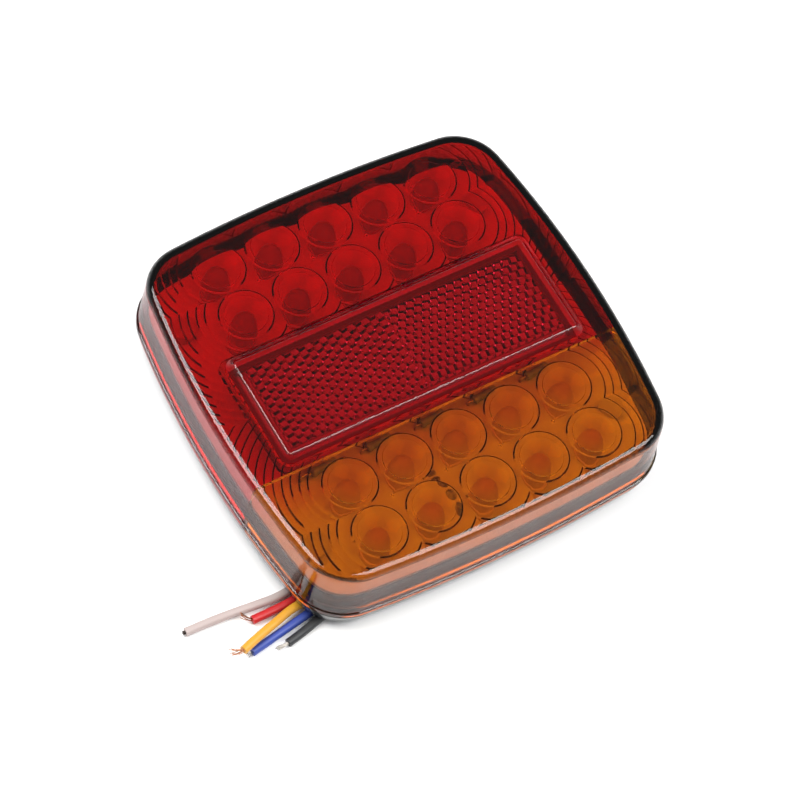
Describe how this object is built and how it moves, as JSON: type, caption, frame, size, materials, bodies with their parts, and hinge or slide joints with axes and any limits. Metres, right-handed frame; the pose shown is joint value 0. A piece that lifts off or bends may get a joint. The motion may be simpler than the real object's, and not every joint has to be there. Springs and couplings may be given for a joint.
{
  "type": "trailer tail light",
  "caption": "Square trailer tail light with a red and amber lens, a raised reflex reflector, LEDs on a circuit board and loose supply wires from the back.",
  "frame": {"origin": "Middle of the mounting plane, which the feet and bosses of the back housing touch (z = 0), with the lamp lying on its back.", "axes": "+Z points out of the lens, +X runs along the rows of LEDs, +Y points to the red end, which is the top when the lamp is mounted."},
  "size_m": [0.1266, 0.1014, 0.0266],
  "materials": {
    "housing_abs": "moulded black ABS, semi-gloss with fine moulding texture on the back",
    "insert_brass": "turned brass with a knurled outside",
    "grommet_rubber": "soft black rubber",
    "seal_rubber": "cured sealant bead",
    "lens_red": "transparent red acrylic, polished outside and stepped optics inside",
    "lens_amber": "transparent amber acrylic, polished outside and stepped optics inside",
    "reflector_crimson": "deep red acrylic over cube-corner prisms",
    "backing_abs": "white moulded ABS",
    "board_laminate": "glass-fibre laminate with white solder mask",
    "screw_steel": "zinc-plated steel",
    "led_red_epoxy": "cast red epoxy",
    "led_amber_epoxy": "cast amber epoxy",
    "leg_tin": "tinned copper wire",
    "resistor_lacquer": "blue lacquer with colour bands",
    "diode_epoxy": "black epoxy with a silver band",
    "solder_tin": "bright solder",
    "pvc_white": "soft PVC insulation",
    "pvc_red": "soft PVC insulation",
    "pvc_yellow": "soft PVC insulation",
    "pvc_blue": "soft PVC insulation",
    "pvc_black": "soft PVC insulation",
    "core_strands": "fine tinned copper strands"
  },
  "bodies": {
    "root": {"base_housing": "housing_abs", "mounting_inserts": "insert_brass", "cable_grommet": "grommet_rubber", "lens_seal": "seal_rubber", "red_lens": "lens_red", "amber_lens": "lens_amber", "reflex_reflector": "reflector_crimson", "reflector_backing": "backing_abs", "circuit_board": "board_laminate", "board_screws": "screw_steel", "red_leds": "led_red_epoxy", "amber_leds": "led_amber_epoxy", "red_led_legs": "leg_tin", "amber_led_legs": "leg_tin", "resistors": "resistor_lacquer", "resistor_legs": "leg_tin", "diodes": "diode_epoxy", "diode_legs": "leg_tin", "board_solder": "solder_tin", "wire_solder": "solder_tin", "wire_white": "pvc_white", "wire_red": "pvc_red", "wire_yellow": "pvc_yellow", "wire_blue": "pvc_blue", "wire_black": "pvc_black", "core_white": "core_strands", "core_red": "core_strands", "core_yellow": "core_strands", "core_blue": "core_strands", "core_black": "core_strands"}
  },
  "joints": []
}
